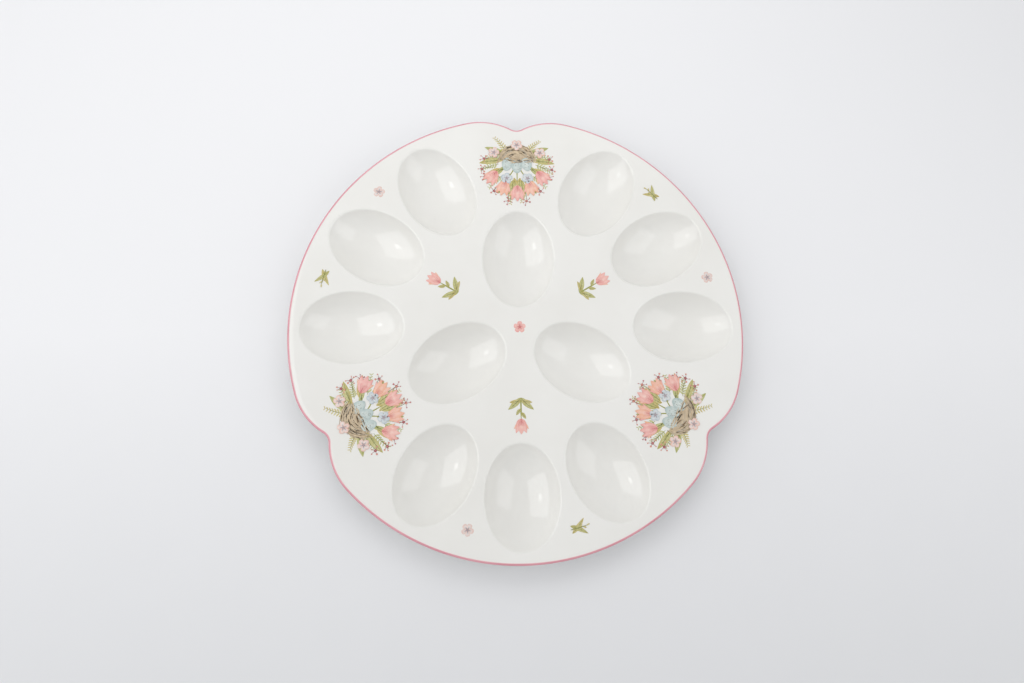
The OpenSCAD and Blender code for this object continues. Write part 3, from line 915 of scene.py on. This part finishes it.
for mark in blanks.values():
    bpy.data.meshes.remove(mark)

# The matt paper sheet that the platter stands on. It is faintly mottled, and its colour is painted
# greyer at the front, and a little greyer at the back than in the middle: painted shade where the
# room's light falls off
PAPER_HALF_W = 3
floor_mesh = bpy.data.meshes.new("paper_sheet")
bm = bmesh.new()
bmesh.ops.create_grid(bm, x_segments=1, y_segments=1, size=PAPER_HALF_W)
bm.to_mesh(floor_mesh)
bm.free()
floor = bpy.data.objects.new("paper_sheet", floor_mesh)
bpy.context.scene.collection.objects.link(floor)
paper = bpy.data.materials.new("white_paper")
paper.use_nodes = True
tree = paper.node_tree
shader = tree.nodes["Principled BSDF"]
coords = tree.nodes.new("ShaderNodeTexCoord")
place = tree.nodes.new("ShaderNodeSeparateXYZ")
# Painted shade: the paper's colour turns greyer towards the front by its Y place, standing in for
# the room's light falling off
depth = tree.nodes.new("ShaderNodeMapRange")
depth.inputs["From Min"].default_value = -0.3
depth.inputs["From Max"].default_value = 0.3
mottle = tree.nodes.new("ShaderNodeTexNoise")
mottle.inputs["Scale"].default_value = 25
mottle.inputs["Detail"].default_value = 6
shift = tree.nodes.new("ShaderNodeMapRange")
shift.inputs["To Min"].default_value = -0.03
shift.inputs["To Max"].default_value = 0.03
mixed = tree.nodes.new("ShaderNodeMath")
mixed.operation = "ADD"
# The ramp holds the painted shade: darkest at the front, lightest in the middle, a little darker
# at the back
tone = tree.nodes.new("ShaderNodeValToRGB")
tone.color_ramp.elements[0].position = 0
tone.color_ramp.elements[0].color = (0.71, 0.715, 0.73, 1)
tone.color_ramp.elements[1].position = 0.5
tone.color_ramp.elements[1].color = (0.845, 0.845, 0.86, 1)
tone.color_ramp.elements.new(0.9).color = (0.81, 0.81, 0.825, 1)
tree.links.new(coords.outputs["Object"], place.inputs["Vector"])
tree.links.new(coords.outputs["Object"], mottle.inputs["Vector"])
tree.links.new(mottle.outputs["Fac"], shift.inputs["Value"])
tree.links.new(place.outputs["Y"], depth.inputs["Value"])
tree.links.new(depth.outputs["Result"], mixed.inputs[0])
tree.links.new(shift.outputs["Result"], mixed.inputs[1])
tree.links.new(mixed.outputs["Value"], tone.inputs["Fac"])
tree.links.new(tone.outputs["Color"], shader.inputs["Base Color"])
shader.inputs["Roughness"].default_value = 0.9
floor_mesh.materials.append(paper)


def softbox(name, where, size, power):
    """A flat studio light that faces the platter."""
    data = bpy.data.lights.new(name, "AREA")
    data.shape = "RECTANGLE"
    data.size, data.size_y = size
    data.energy = power
    lamp = bpy.data.objects.new(name, data)
    lamp.location = where
    lamp.rotation_mode = "QUATERNION"
    lamp.rotation_quaternion = (-Vector(where)).to_track_quat("-Z", "Y")
    bpy.context.scene.collection.objects.link(lamp)
    return lamp


# Two softboxes, a brighter one at the left and a dimmer one at the right, in a white room. A sheen
# lamp in each one's place lights the gloss alone, and so does the left one's small bright bulb
LEFT_AT = (-1.02, -0.155, 0.866)
LEFT_SIZE = (1.36, 1.57)
RIGHT_AT = (1.02, -0.35, 0.72)
RIGHT_SIZE = (1.02, 1.28)
BULB_AT = (-0.99, -0.13, 0.84)
BULB_SIZE = (0.2, 0.2)
BACK_AT = (-0.08, 0.35, 0.55)
BACK_SIZE = (0.8, 0.4)
softbox("left_softbox", LEFT_AT, LEFT_SIZE, power=5.7)
softbox("right_softbox", RIGHT_AT, RIGHT_SIZE, power=2.6)
softbox("left_sheen", LEFT_AT, LEFT_SIZE, power=16).visible_diffuse = False
softbox("right_sheen", RIGHT_AT, RIGHT_SIZE, power=6.2).visible_diffuse = False
softbox("left_bulb", BULB_AT, BULB_SIZE, power=0.2).visible_diffuse = False
# A low light over the back of the platter, which falls off to the front and isn't mirrored in
# the glaze
over = softbox("back_light", BACK_AT, BACK_SIZE, power=1.3)
over.rotation_quaternion = (1, 0, 0, 0)
over.visible_glossy = False
world = bpy.data.worlds.new("white_room")
world.use_nodes = True
world.node_tree.nodes["Background"].inputs["Color"].default_value = (0.98, 0.99, 1, 1)
world.node_tree.nodes["Background"].inputs["Strength"].default_value = 0.62
bpy.context.scene.world = world

# The camera looks down from above the platter and leans back a little
FOCUS_PX = 663.9
IMAGE_W = 1024
SENSOR_W = 36
LEAN_BACK = math.radians(-11.31)
LEAN_ASIDE = math.radians(3.26)
ROLL = math.radians(0.82)
lean_back = Matrix.Rotation(LEAN_BACK, 3, "X")
lean_aside = Matrix.Rotation(LEAN_ASIDE, 3, "Y")
roll = Matrix.Rotation(ROLL, 3, "Z")
to_camera = lean_back @ lean_aside @ roll
DECK_IN_VIEW = (0.00507, 0.00964, -0.441)
camera_data = bpy.data.cameras.new("photo_camera")
camera_data.sensor_width = SENSOR_W
camera_data.lens = FOCUS_PX / IMAGE_W * SENSOR_W
camera = bpy.data.objects.new("photo_camera", camera_data)
from_camera = to_camera.transposed()
eye = Vector((0, 0, DECK_Z)) - from_camera @ Vector(DECK_IN_VIEW)
camera.matrix_world = Matrix.Translation(eye) @ from_camera.to_4x4()
bpy.context.scene.collection.objects.link(camera)
bpy.context.scene.camera = camera
bpy.context.scene.view_settings.view_transform = "Standard"
